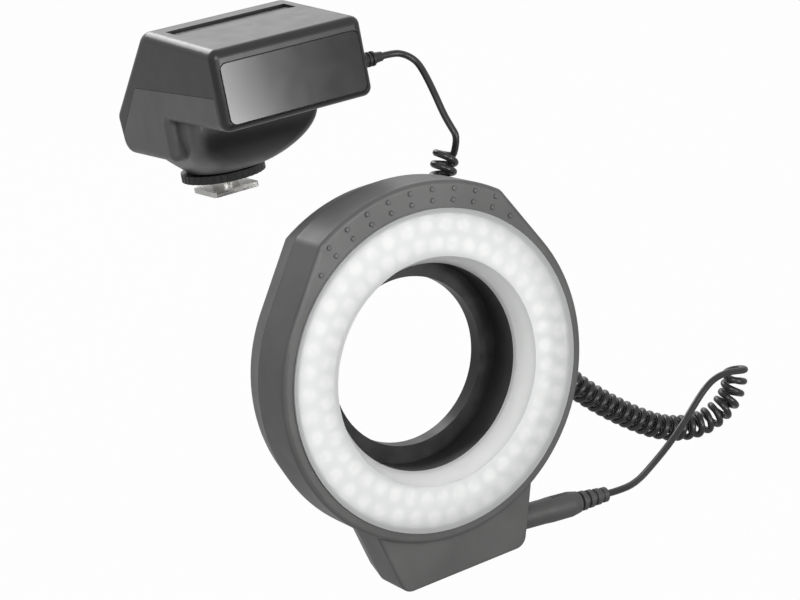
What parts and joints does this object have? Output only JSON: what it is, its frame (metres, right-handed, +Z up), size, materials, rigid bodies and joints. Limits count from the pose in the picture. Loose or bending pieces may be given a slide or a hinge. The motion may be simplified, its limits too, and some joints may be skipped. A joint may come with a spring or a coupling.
{
  "type": "macro ring flash",
  "caption": "Ring lamp with a frosted diffuser on a lens adapter, joined by a curly cord to a battery control box with a shoe foot.",
  "frame": {"origin": "on the optical axis, where the adapter's flange seats on the lens", "axes": "+Y along the optical axis towards the camera side, -Y out of the lamp's front, +Z up"},
  "size_m": [0.2101, 0.1539, 0.1866],
  "materials": {
    "ring_plastic": "satin",
    "box_plastic": "satin",
    "black_plastic": "satin",
    "gloss_panel": "glossy",
    "diffuser_white": "frosted",
    "adapter_black": "anodised",
    "steel": "satin",
    "board": "satin",
    "lamp_white": "clear",
    "cord_black": "satin",
    "button_grey": "satin",
    "cell_jacket": "gloss",
    "contact_metal": "plated"
  },
  "bodies": {
    "base": {"ring_front_shell": "ring_plastic", "ring_rear_cover": "ring_plastic", "diffuser": "diffuser_white", "inner_sleeve": "black_plastic", "lamp_board": "board", "lamps": "lamp_white", "driver_board": "board", "supply_jack": "black_plastic", "snap_ring": "steel", "ring_screws": "steel", "upper_shell": "box_plastic", "lower_shell": "box_plastic", "front_bezel": "gloss_panel", "front_window": "gloss_panel", "battery_tray": "black_plastic", "battery_cells": "cell_jacket", "battery_contacts": "contact_metal", "control_board": "board", "switches": "black_plastic", "light_pipes": "lamp_white", "main_board": "board", "shoe_stem": "steel", "shoe_foot": "steel", "cord_gland": "cord_black", "box_screws": "steel", "cord_upper": "cord_black", "cord_coil": "cord_black", "cord_lower": "cord_black", "plug_body": "cord_black", "plug_boot": "cord_black", "plug_barrel": "steel"},
    "adapter": {"adapter_ring": "adapter_black"},
    "wheel": {"lock_wheel": "black_plastic"},
    "washer": {"clamp_washer": "steel"},
    "door": {"battery_door": "box_plastic", "door_contacts": "contact_metal"},
    "slider": {"power_slider": "button_grey"},
    "minus": {"minus_button": "button_grey"},
    "plus": {"plus_button": "button_grey"},
    "mode": {"mode_button": "button_grey"},
    "pin": {"contact_pin": "contact_metal"}
  },
  "joints": [
    {"name": "adapter_turn", "type": "hinge", "parent": "base", "child": "adapter", "pos_m": [0, 0, 0], "axis": [0, 1, 0], "continuous": true},
    {"name": "wheel_turn", "type": "hinge", "parent": "base", "child": "wheel", "pos_m": [0, 0.112, 0.0538], "axis": [0, 0, 1], "range_deg": [0, 360]},
    {"name": "washer_slide", "type": "slide", "parent": "base", "child": "washer", "axis": [0, 0, -1], "range_m": [0, 0.001]},
    {"name": "door_swing", "type": "hinge", "parent": "base", "child": "door", "pos_m": [0.0285, 0.1053, 0.0696], "axis": [0, 1, 0], "range_deg": [0, 90]},
    {"name": "power_slide", "type": "slide", "parent": "base", "child": "slider", "axis": [1, 0, 0], "range_m": [0, 0.0045]},
    {"name": "minus_press", "type": "slide", "parent": "base", "child": "minus", "axis": [0, -0.6795, -0.7337], "range_m": [0, 0.0007], "stiffness_N_per_m": 150, "springref_m": -0.003},
    {"name": "plus_press", "type": "slide", "parent": "base", "child": "plus", "axis": [0, -0.6795, -0.7337], "range_m": [0, 0.0007], "stiffness_N_per_m": 150, "springref_m": -0.003},
    {"name": "mode_press", "type": "slide", "parent": "base", "child": "mode", "axis": [0, -0.6795, -0.7337], "range_m": [0, 0.0007], "stiffness_N_per_m": 150, "springref_m": -0.003},
    {"name": "pin_press", "type": "slide", "parent": "base", "child": "pin", "axis": [0, 0, 1], "range_m": [0, 0.0005], "stiffness_N_per_m": 300, "springref_m": -0.002}
  ],
  "couplings": [
    {"joint": "washer_slide", "follows": "wheel_turn", "m_per_rad": 0.00015915}
  ]
}
